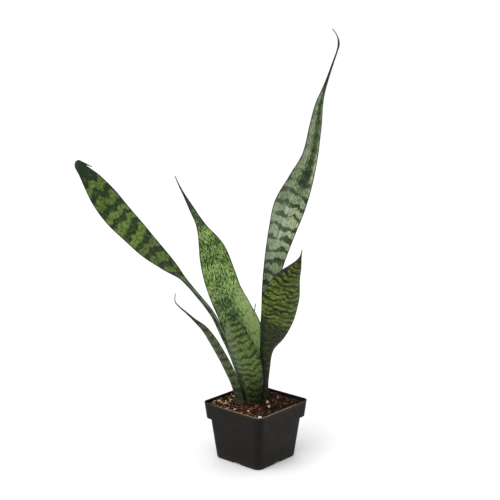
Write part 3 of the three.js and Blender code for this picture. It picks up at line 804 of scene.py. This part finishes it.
def box_solid(name, low, high):
    points = [(x, y, z) for z in (low[2], high[2]) for x, y in
              ((low[0], low[1]), (high[0], low[1]), (high[0], high[1]), (low[0], high[1]))]
    faces = [(3, 2, 1, 0), (4, 5, 6, 7), (0, 1, 5, 4), (1, 2, 6, 5), (2, 3, 7, 6), (3, 0, 4, 7)]
    return plain_object(name, points, faces)


def disc_solid(name, x, y, radius, low, high):
    angles = [2 * math.pi * k / DISC_SIDES for k in range(DISC_SIDES)]
    circle = [(x + radius * math.cos(a), y + radius * math.sin(a)) for a in angles]
    points = [(*point, z) for z in (low, high) for point in circle]
    return plain_object(name, points, loft_faces(2, DISC_SIDES))


def combine(target, operation, tool):
    """One boolean step, applied; the tool goes."""
    modifier = target.modifiers.new("cut", "BOOLEAN")
    modifier.operation = operation
    modifier.solver = "EXACT"
    modifier.object = tool
    bpy.context.view_layer.update()
    evaluated = target.evaluated_get(bpy.context.evaluated_depsgraph_get())
    mesh = bpy.data.meshes.new_from_object(evaluated)
    target.modifiers.clear()
    target.data = mesh
    bpy.data.objects.remove(tool)


def channel_cross(name, margin):
    """The drain channels as a cross-shaped cutter, grown by a margin, round the centre pad."""
    width = CHANNEL_WIDTH / 2 + margin
    top = CHANNEL_DEPTH + margin
    run = RIM_HALF + 10
    # The second bar starts a hair lower, so that the two share no face
    cross = box_solid(name, (-run, -width, -6), (run, width, top))
    combine(cross, "UNION", box_solid("bar", (-width, -run, -6.01), (width, run, top)))
    combine(cross, "DIFFERENCE", disc_solid("pad", 0, 0, PAD_RADIUS - margin, -9, top + 3))
    return cross


def pot_piece(material):
    """The shell: a rounded outside less a cavity, with channels below and drain holes between them."""
    outside = [
        (0.0, BASE_HALF - 2.4),
        (0.25, BASE_HALF - 1.0),
        (0.9, BASE_HALF - 0.3),
        (2.0, BASE_HALF),
        (BAND_BOTTOM - 1.2, BODY_TOP_HALF - 0.1),
        (BAND_BOTTOM - 0.3, BODY_TOP_HALF + 0.25),
        (BAND_BOTTOM + 0.02, BODY_TOP_HALF + 1.0),
        *arc_profile(BAND_BOTTOM + 0.6, BAND_HALF - 0.55, 0.55, -85, 0, steps=4),
        (POT_HEIGHT - 1.7, RIM_HALF - 0.2),
        (POT_HEIGHT - 1.35, RIM_HALF),
        *arc_profile(POT_HEIGHT - LIP_ROUND, RIM_HALF - LIP_ROUND, LIP_ROUND, 0, 90),
    ]
    inside = [
        (WALL, BASE_HALF - WALL - EDGE_ROUND),
        (WALL + EDGE_ROUND, BASE_HALF - WALL),
        (BAND_BOTTOM + WALL - 0.4, BODY_TOP_HALF - WALL),
        (BAND_BOTTOM + WALL, BODY_TOP_HALF - WALL + 0.4),
        (BAND_BOTTOM + WALL + 0.1, BAND_HALF - WALL - 0.8),
        (BAND_BOTTOM + WALL + 0.8, BAND_HALF - WALL),
        (POT_HEIGHT - 1.0, RIM_HALF - WALL),
        (POT_HEIGHT - 0.35, RIM_HALF - WALL + 0.1),
        (POT_HEIGHT + 0.3, RIM_HALF - WALL + 0.55),
    ]
    outside, inside = densified(outside, PROFILE_STEP), densified(inside, PROFILE_STEP)
    pot = plain_object("nursery_pot_shell", *square_stack(outside, CORNER_RADIUS))
    cavity = plain_object("cavity", *square_stack(inside, CORNER_RADIUS - WALL))
    combine(cavity, "DIFFERENCE", channel_cross("floor_skin", WALL))
    combine(pot, "DIFFERENCE", cavity)
    combine(pot, "DIFFERENCE", channel_cross("channels", 0.0))
    for quarter in range(4):
        angle = quarter * math.pi / 2
        x, y = DRAIN_OFFSET * math.cos(angle), DRAIN_OFFSET * math.sin(angle)
        combine(pot, "DIFFERENCE", disc_solid("hole", x, y, DRAIN_RADIUS, -6, 9))
    mesh = pot.data
    mesh.materials.clear()
    mesh.materials.append(material)
    mesh.polygons.foreach_set("use_smooth", [True] * len(mesh.polygons))
    mesh.set_sharp_from_angle(angle=SHARP_ANGLE)
    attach(pot, "root")
    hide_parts("nursery_pot")


def pot_look():
    """Black moulded plastic: fine dust near the foot, a painted shadow under the band, tan dust with a
    painted highlight on the front rim.
    """
    look = Look("black_pot_plastic", 0.5, Specular_IOR_Level=0.12)
    point = look.object_point()
    grain = look.noise(point, scale=2.6, detail=3.0, roughness=0.6)
    cloud = look.noise(point, scale=0.06, detail=3.0)
    split = look.node("SeparateXYZ")
    look.put(split.inputs[0], point)
    x, y, height = split.outputs
    shade = look.math("MULTIPLY_ADD", grain, 0.35, look.times(cloud, 0.65))
    colour = look.ramp(shade, (0.3, srgb(15, 12, 8)), (0.7, srgb(22, 18, 13)))
    # Painted shadow: the body is darker just under the band's ledge
    band_shadow = look.times(look.step(height, BAND_BOTTOM + 0.6, BAND_BOTTOM - 0.2),
                       look.step(height, BAND_BOTTOM - 6.0, BAND_BOTTOM - 1.0))
    colour = look.mix(look.times(band_shadow, 0.6), colour, srgb(8, 7, 5))
    low = look.step(height, 14.0, 0.0)
    dust = look.noise(point, scale=0.8, detail=7.0, roughness=0.78)
    dusty = look.times(low, look.step(dust, 0.36, 0.74))
    colour = look.mix(look.times(dusty, 0.16), colour, srgb(104, 94, 80))
    # Tan mix dust along the rim, heaviest on the front, where its light line is also a painted highlight
    # on the lip
    rim = look.step(height, POT_HEIGHT - 1.4, POT_HEIGHT - 0.2)
    front = look.step(look.math("SUBTRACT", x, y), 18.0, 46.0)
    crumbs = look.step(look.noise(point, scale=0.9, detail=7.0, roughness=0.78), 0.36, 0.62)
    line = look.times(look.times(rim, front), crumbs)
    colour = look.mix(line, colour, srgb(150, 128, 100))
    faint = look.times(look.times(rim, crumbs), 0.3)
    colour = look.mix(faint, colour, srgb(120, 104, 84))
    look.set("Base Color", colour)
    look.set("Roughness", look.step(cloud, 0.3, 0.7, 0.44, 0.58))
    streaks = look.node("Mapping")
    look.put(streaks.inputs["Vector"], point)
    streaks.inputs["Scale"].default_value = (0.5, 0.5, 0.035)
    pulls = look.noise(streaks.outputs[0], scale=1.0, detail=3.0)
    look.bump(look.math("MULTIPLY_ADD", pulls, 0.5, look.times(grain, 0.5)), 0.12)
    return look.material


pot_piece(pot_look())


# Potting mix


def mix_top(x, y):
    """The height of the CAD mix: a low mound with soft ripples."""
    near = np.maximum(0, 1 - np.hypot(x, y) / (RIM_HALF - WALL))
    ripple = np.sin(0.19 * x + 0.8) * np.cos(0.23 * y - 0.5) * np.minimum(1, 4 * near)
    return MIX_EDGE + MOUND * np.sin(near * math.pi / 2) + 0.4 * ripple


def mix_relief(x, y):
    """The same with lumps, on which the crumbs and fibres lie."""
    flat = np.stack([x, y, 0 * x], axis=-1)
    lumps = 1.5 * (noise(flat, 0.16) - 0.5) + 1.1 * (noise(flat, 0.42) - 0.5)
    lumps = lumps + 0.5 * (noise(flat, 1.1) - 0.5)
    return mix_top(x, y) + lumps - 0.35


def mix_piece(material):
    """The mix as one block in the pot, with a lumpy top."""
    edge = BAND_HALF + 2.2 * (MIX_EDGE - BAND_BOTTOM) / (POT_HEIGHT - BAND_BOTTOM) - WALL - MIX_GAP
    low = CHANNEL_DEPTH + WALL + MIX_GAP
    profile = [(low, BASE_HALF - 1.2), (low + 1, BASE_HALF - 0.9)]
    profile += [(BAND_BOTTOM + WALL, BODY_TOP_HALF - WALL - MIX_GAP)]
    profile += [(BAND_BOTTOM + WALL + MIX_GAP, BAND_HALF - WALL - MIX_GAP - 0.8)]
    profile += [(BAND_BOTTOM + WALL + 1.3, BAND_HALF - WALL - MIX_GAP)]
    corner = CORNER_RADIUS - WALL
    steps = dict(corner_steps=16, flat_steps=44)
    rings = []
    for height, half in densified(profile, 2 * PROFILE_STEP):
        ring = square_ring(half - WALL_BOW, corner, **steps)
        rings.append(np.column_stack([ring, np.full(len(ring), height)]))
    for share in np.linspace(1, 0.01, MIX_RINGS):
        ring = square_ring((edge - WALL_BOW) * share, corner * share, **steps)
        top = mix_relief(ring[:, 0], ring[:, 1])
        rings.append(np.column_stack([ring, top]))
    points = np.concatenate(rings)
    make("potting_mix_body", points, loft_faces(len(rings), len(rings[0])), material,
         dict(shade=np.full(len(points), 0.45)), ("potting_mix",))


def soil_look(name, stops, seed, scale=1.0, roughness=0.9, relief=0.3):
    """Bark, fibre or grain: the shade at each point, with specks, picks its colour from the stops."""
    look = Look(name, roughness, Specular_IOR_Level=0.1)
    point = look.object_point()
    speck = look.noise(point, scale=0.9 * scale, detail=5.0, roughness=0.7)
    shift = look.math("MULTIPLY_ADD", look.math("SUBTRACT", speck, 0.5), 0.8, look.attribute("shade"))
    look.set("Base Color", look.ramp(shift, *stops))
    look.set("Roughness", look.step(speck, 0.3, 0.7, roughness - 0.12, roughness + 0.08))
    look.bump(look.noise(point, scale=1.6 * scale + 0.01 * seed, detail=4.0, roughness=0.7), relief)
    return look.material


def sphere_template(level):
    """Points and triangles of an icosphere with radius 1."""
    work = bmesh.new()
    bmesh.ops.create_icosphere(work, subdivisions=level, radius=1.0)
    points = np.array([v.co[:] for v in work.verts])
    faces = np.array([[v.index for v in f.verts] for f in work.faces])
    work.free()
    return points, faces


def chunk_points(base, seed, boxy, rough):
    """A broken lump: a sphere pressed towards a box, then pushed about by noise."""
    cube = base / np.max(np.abs(base), axis=1, keepdims=True)
    points = base * (1 - boxy) + cube * boxy * 0.8
    points = points + rough * bump3(points * 10 + seed * 3.7, 0.14, seed)
    return points + 0.35 * rough * bump3(points * 10 + seed * 1.9, 0.45, seed + 2)


def turned(points, rng, tilt):
    """Points turned freely about Z, and tipped up to a tilt about X and Y."""
    matrix = Matrix.Rotation(rng.uniform(0, 2 * math.pi), 3, "Z")
    matrix = matrix @ Matrix.Rotation(rng.uniform(-tilt, tilt), 3, "X")
    matrix = matrix @ Matrix.Rotation(rng.uniform(-tilt, tilt), 3, "Y")
    return points @ np.array(matrix).T


def crumb_size(rng):
    """A crumb's length, width and depth, or nothing if it is too big."""
    scale = rng.lognormal(0.3, 0.44)
    if scale > CRUMB_LIMIT:
        return None
    return (scale * rng.uniform(0.9, 1.9), scale * rng.uniform(0.5, 1.0), scale * rng.uniform(0.35, 0.8))


def crumb_shade(rng, x, y):
    """Light chips lie to the left and reddish ones in front; fewer light chips and a painted shade make
    the crumbs darker towards the right.
    """
    left = float(smooth(np.array(-x), -12, 36))
    chip = rng.rand() < 0.055 + 0.19 * left
    front = float(smooth(np.array(-y), 5, 35)) * float(smooth(np.array(abs(x + 4)), 26, 8))
    shade = (0.14 + 0.3 * left + 0.55 * front) * rng.beta(1.2, 2.0)
    return float(np.clip(shade + chip * rng.uniform(0.35, 0.9) * (0.5 + 0.5 * left), 0, 1))


def crumbs_piece(material):
    """Broken crumbs of bark, all over the mix and partly sunk in it."""
    rng = np.random.RandomState(CRUMB_SEED)
    base, faces = sphere_template(2)
    shapes = [chunk_points(base, CRUMB_SEED + k, boxy=0.7, rough=0.3) for k in range(CRUMB_SHAPES)]
    points, polygons, shades = [], [], []
    half = RIM_HALF - WALL - 2.4
    while len(points) < CRUMBS:
        x, y = rng.uniform(-half, half, 2)
        plant_x = math.cos(TURN) * x + math.sin(TURN) * y
        plant_y = -math.sin(TURN) * x + math.cos(TURN) * y
        size = crumb_size(rng)
        shade = crumb_shade(rng, plant_x, plant_y)
        if size is None or max(abs(x), abs(y)) + 0.5 * max(size) > half + 1.6:
            continue
        shape = turned(shapes[rng.randint(CRUMB_SHAPES)] * np.array(size) / 2, rng, 0.5)
        height = mix_relief(np.array([x]), np.array([y]))[0] + rng.uniform(-0.1, 0.45) * min(size)
        polygons.append(faces + len(points) * len(base))
        points.append(shape + (x, y, height))
        shades.append(np.full(len(base), shade))
    make("mix_crumbs", np.concatenate(points), np.concatenate(polygons).tolist(), material,
         dict(shade=np.concatenate(shades)), flat=True)


BARK_STOPS = (
    (0.0, srgb(16, 10, 7)),
    (0.22, srgb(40, 23, 16)),
    (0.42, srgb(92, 48, 34)),
    (0.66, srgb(150, 106, 76)),
    (0.9, srgb(226, 200, 160)),
)

mix_piece(soil_look("potting_mix_fines", (
    (0.1, srgb(12, 8, 5)),
    (0.5, srgb(34, 21, 15)),
    (0.9, srgb(84, 58, 42)),
), 1))
crumbs_piece(soil_look("bark_crumbs", BARK_STOPS, 2))


def tube(path, radii, sides):
    """A closed tube along points, tapering by its radii."""
    path = np.asarray(path, float)
    along = unit(np.gradient(path, axis=0))
    first = unit(np.cross(along, (0.31, 0.17, 0.93)))
    second = np.cross(along, first)
    angles = np.linspace(0, 2 * math.pi, sides, endpoint=False)
    rings = path[:, None] + np.asarray(radii)[:, None, None] * (
        np.cos(angles)[None, :, None] * first[:, None] + np.sin(angles)[None, :, None] * second[:, None])
    return rings.reshape(-1, 3), loft_faces(len(path), sides)


def fibres_piece(material):
    """Coir and bark fibres that lie on the mix and loop up a little."""
    rng = np.random.RandomState(FIBRE_SEED)
    points, faces, shades = [], [], []
    half = RIM_HALF - WALL - 4
    total = 0
    for _ in range(FIBRES):
        x, y = rng.uniform(-half, half, 2)
        heading = rng.uniform(0, 2 * math.pi)
        length = rng.uniform(4, 15)
        bend = rng.normal(0, 0.16)
        arch = rng.uniform(0.2, 1.9)
        path = []
        for k in range(FIBRE_STEPS):
            path.append((x, y, arch * math.sin(math.pi * k / (FIBRE_STEPS - 1))))
            heading += bend + rng.normal(0, 0.12)
            x += length / FIBRE_STEPS * math.cos(heading)
            y += length / FIBRE_STEPS * math.sin(heading)
        path = np.clip(np.array(path), (-half - 2, -half - 2, 0), (half + 2, half + 2, 9))
        path[:, 2] += mix_relief(path[:, 0], path[:, 1]) + 0.15
        thick = rng.uniform(0.12, 0.34)
        radii = thick * np.array([0.4] + [1.0] * (FIBRE_STEPS - 2) + [0.3])
        ring_points, ring_faces = tube(path, radii, sides=5)
        points.append(ring_points)
        faces += [tuple(total + i for i in face) for face in ring_faces]
        shades.append(np.full(len(ring_points), rng.beta(2, 2)))
        total += len(ring_points)
    make("coir_fibres", np.concatenate(points), faces, material,
         dict(shade=np.concatenate(shades)))


fibres_piece(soil_look("coir", (
    (0.0, srgb(38, 21, 14)),
    (0.5, srgb(92, 54, 36)),
    (1.0, srgb(176, 136, 98)),
), 3))


def chunks(name, kind, material, boxy, rough, seed, shades):
    """The loose pieces of one kind, each in the place of its CAD solid and with a shade of its own."""
    base, faces = sphere_template(4)
    points, polygons, values = [], [], []
    nodes = [f"{kind}_{k + 1}" for k in range(len(shades))]
    for k, node in enumerate(nodes):
        low, high = (np.array(corner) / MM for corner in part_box(node))
        shape = chunk_points(base, seed + 5 * k, boxy, rough)
        shape = shape + 0.05 * bump3(shape * 10, 1.4, seed + k)
        shape = (shape - shape.min(axis=0)) / (shape.max(axis=0) - shape.min(axis=0))
        points.append(low + shape * (high - low) - (0, 0, 0.9))
        polygons.append(faces + k * len(base))
        values.append(np.full(len(base), shades[k]))
    make(name, np.concatenate(points), np.concatenate(polygons).tolist(), material,
         dict(shade=np.concatenate(values)), nodes)


chunks("perlite_grains", "perlite_grain", soil_look("perlite", (
    (0.0, srgb(112, 92, 76)),
    (0.45, srgb(238, 235, 228)),
    (1.0, srgb(250, 249, 246)),
), 4, scale=1.4, roughness=0.85, relief=0.4),
       boxy=0.35, rough=0.34, seed=31, shades=(0.6, 0.35, 0.1))
chunks("wood_bit_pieces", "wood_bit", soil_look("pale_wood_bits", (
    (0.0, srgb(120, 92, 62)),
    (0.5, srgb(178, 148, 110)),
    (1.0, srgb(214, 190, 150)),
), 5, scale=0.8), boxy=0.6, rough=0.3, seed=47, shades=(0.55, 0.7, 0.6, 0.8, 0.65))
chunks("bark_chip_pieces", "bark_chip", soil_look("bark_chips", BARK_STOPS, 6, scale=0.7),
       boxy=0.75, rough=0.3, seed=63, shades=(0.45, 0.5, 0.42, 0.3, 0.35, 0.28, 0.4, 0.5))

rhizome_look = Look("rhizome_skin", 0.6)
skin = rhizome_look.noise(rhizome_look.object_point(), scale=0.5, detail=4.0, roughness=0.6)
rhizome_look.set("Base Color", rhizome_look.ramp(
    skin, (0.3, srgb(156, 112, 62)), (0.7, srgb(216, 178, 122))))
rhizome_look.set("Roughness", rhizome_look.step(skin, 0.3, 0.7, 0.5, 0.72))
rhizome_look.bump(skin, 0.4)
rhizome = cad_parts["rhizome"]
rhizome.data.materials.clear()
rhizome.data.materials.append(rhizome_look.material)


# Stage

floor_look = Look("pale_floor", 0.8)
floor_grain = floor_look.noise(floor_look.object_point(), scale=0.02, detail=2.0)
floor_look.set("Base Color", floor_look.ramp(
    floor_grain, (0.3, srgb(247, 247, 247)), (0.7, srgb(250, 250, 250))))
# The floor lies half a millimetre low, so that it never meets the pot's feet
bpy.ops.mesh.primitive_circle_add(vertices=96, radius=40, fill_type="NGON", location=(0, 0, -0.0005))
floor = bpy.context.object
floor.name = "floor"
floor.data.materials.append(floor_look.material)

# The backdrop looks white, and lights the plant by this share of it
WORLD_LIGHT = 0.9
world = bpy.data.worlds.new("studio")
world.use_nodes = True
nodes, links = world.node_tree.nodes, world.node_tree.links
background = nodes["Background"]
background.inputs["Color"].default_value = (1, 1, 1, 1)
boost = nodes.new("ShaderNodeMath")
boost.operation = "MULTIPLY_ADD"
boost.inputs[1].default_value = 1.0 - WORLD_LIGHT
boost.inputs[2].default_value = WORLD_LIGHT
links.new(nodes.new("ShaderNodeLightPath").outputs["Is Camera Ray"], boost.inputs[0])
links.new(boost.outputs[0], background.inputs["Strength"])
bpy.context.scene.world = world
bpy.context.scene.view_settings.view_transform = "Standard"

# The camera and the lights are placed in metres
CAMERA_AZIMUTH = math.radians(41.29)
CAMERA_PITCH = math.radians(12.66)
CAMERA_DISTANCE = 1.57978
CAMERA_ASIDE = -0.0076
CAMERA_HEIGHT = 0.63795
SUN_POWER = 0.85
SUN_SPREAD = math.radians(50)
SUN_TILT = math.radians(38)
SUN_ASIDE = math.radians(38)


def area_light(name, azimuth, elevation, distance, size, power):
    """A soft light that looks at the plant; its azimuth counts from the camera's, to the right."""
    light = bpy.data.lights.new(name, "AREA")
    light.size = size
    light.energy = power
    lamp = placed(name, light)
    angle = CAMERA_AZIMUTH + math.radians(azimuth)
    rise = math.radians(elevation)
    target = Vector((0, 0, 0.25))
    away = Vector((math.sin(angle) * math.cos(rise), -math.cos(angle) * math.cos(rise), math.sin(rise)))
    lamp.location = target + distance * away
    lamp.rotation_euler = (target - lamp.location).to_track_quat("-Z", "Y").to_euler()


area_light("key", azimuth=-50, elevation=42, distance=2.2, size=1.2, power=6)
area_light("top", azimuth=10, elevation=80, distance=2.2, size=1.6, power=5)
sun_data = bpy.data.lights.new("sun", "SUN")
sun_data.energy = SUN_POWER
sun_data.angle = SUN_SPREAD
placed("sun", sun_data).rotation_euler = (SUN_TILT, 0, CAMERA_AZIMUTH - SUN_ASIDE)

camera_data = bpy.data.cameras.new("camera")
camera_data.sensor_width = 36
camera_data.lens = 90
camera = placed("camera", camera_data)
sine, cosine = math.sin(CAMERA_AZIMUTH), math.cos(CAMERA_AZIMUTH)
camera.location = (
    CAMERA_DISTANCE * sine + CAMERA_ASIDE * cosine,
    -CAMERA_DISTANCE * cosine + CAMERA_ASIDE * sine,
    CAMERA_HEIGHT,
)
camera.rotation_euler = (math.pi / 2 - CAMERA_PITCH, 0, CAMERA_AZIMUTH)
bpy.context.scene.camera = camera
